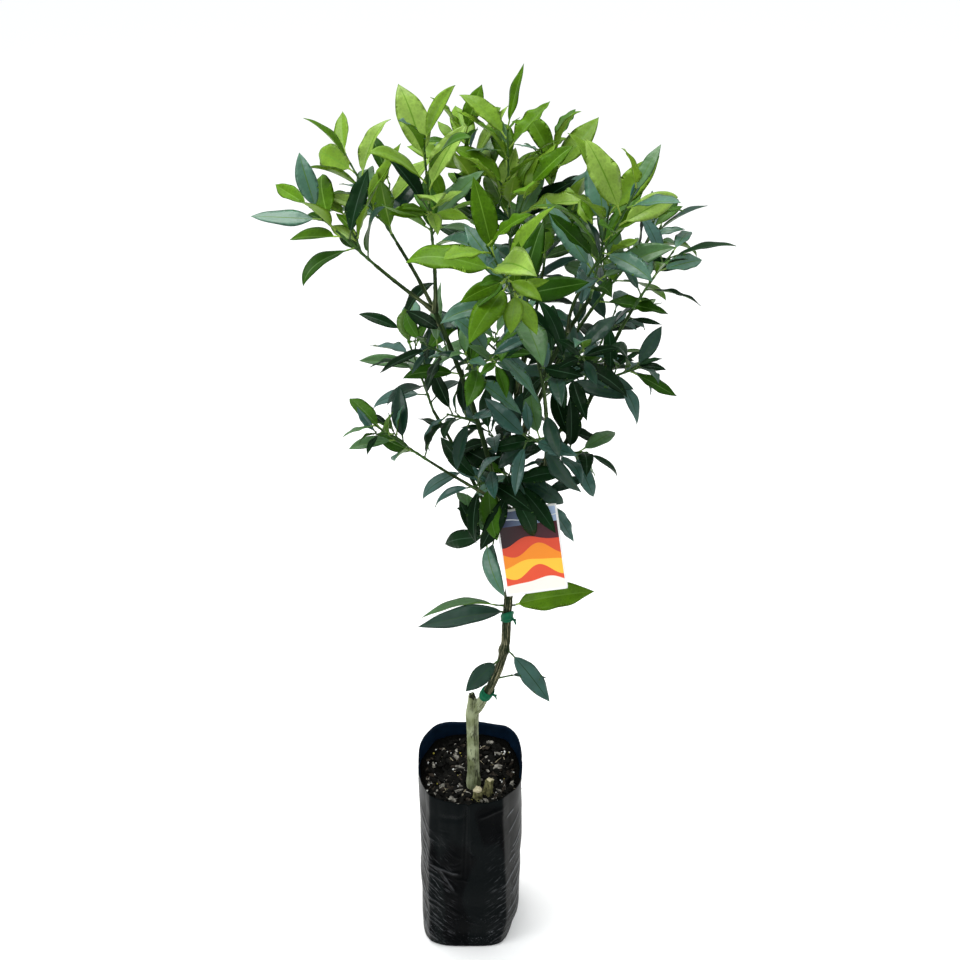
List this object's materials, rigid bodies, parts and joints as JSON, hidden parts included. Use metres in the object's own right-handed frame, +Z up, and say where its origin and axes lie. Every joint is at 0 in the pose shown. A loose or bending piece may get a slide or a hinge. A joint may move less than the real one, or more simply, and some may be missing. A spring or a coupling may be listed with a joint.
{
  "type": "grafted citrus sapling in a planter bag",
  "caption": "Young grafted citrus tree with a bowed stem, forked open crown and glossy pointed leaves, standing in a tall black film planter bag.",
  "frame": {"origin": "middle of the bag's flat underside", "axes": "+Z up the tree, -Y towards the side that the label faces"},
  "size_m": [0.4982, 0.4987, 1.2447],
  "materials": {
    "film": "creased glossy black polythene film",
    "mix": "moist bark-based potting mix with pale granules",
    "trunk_bark": "fissured grey-green bark, smooth and ridged green above the graft",
    "green_bark": "smooth green young bark",
    "young_leaf": "satin bright yellow-green young leaf",
    "mid_leaf": "satin mid-green leaf",
    "mature_leaf": "glossy dark blue-green leaf",
    "card": "printed plastic label with a white border",
    "tape": "soft green tying tape"
  },
  "bodies": {
    "root": {"planter_bag": "film", "potting_mix": "mix", "trunk": "trunk_bark", "left_stem": "green_bark", "right_bough": "green_bark", "centre_bough": "green_bark", "front_right_bough": "green_bark", "far_right_bough": "green_bark", "far_left_bough": "green_bark", "upright_left_bough": "green_bark", "back_left_bough": "green_bark", "low_left_bough": "green_bark", "right_tip_bough": "green_bark", "front_bough": "green_bark", "top_back_bough": "green_bark", "top_right_bough": "green_bark", "high_right_bough": "green_bark", "rear_left_bough": "green_bark", "rear_bough": "green_bark", "rear_right_bough": "green_bark", "far_left_leaves": "young_leaf", "upright_left_leaves": "young_leaf", "back_left_leaves": "young_leaf", "low_left_leaves": "mid_leaf", "left_middle_leaves": "mature_leaf", "left_inner_leaves": "mature_leaf", "left_high_leaves": "mid_leaf", "left_low_leaves": "mature_leaf", "left_lowest_leaves": "mature_leaf", "label_leaves": "mature_leaf", "right_low_leaves": "mature_leaf", "right_lowest_leaves": "mature_leaf", "right_middle_leaves": "mature_leaf", "right_tip_leaves": "mid_leaf", "front_leaves": "young_leaf", "front_middle_leaves": "mature_leaf", "front_low_leaves": "mature_leaf", "centre_leaves": "young_leaf", "centre_middle_leaves": "mid_leaf", "top_back_leaves": "young_leaf", "top_right_leaves": "young_leaf", "front_right_leaves": "young_leaf", "high_right_leaves": "young_leaf", "far_right_leaves": "mid_leaf", "inner_right_leaves": "mature_leaf", "rear_left_leaves": "mid_leaf", "rear_leaves": "mid_leaf", "rear_right_leaves": "mature_leaf", "leader_leaves": "mature_leaf", "spur_left_leaves": "mid_leaf", "spur_right_leaves": "young_leaf", "lowest_right_leaves": "mature_leaf", "lower_right_leaves": "mature_leaf", "lowest_left_leaves": "mature_leaf", "label": "card", "graft_tie": "tape", "stem_tie": "tape", "label_tie": "tape"}
  },
  "joints": []
}
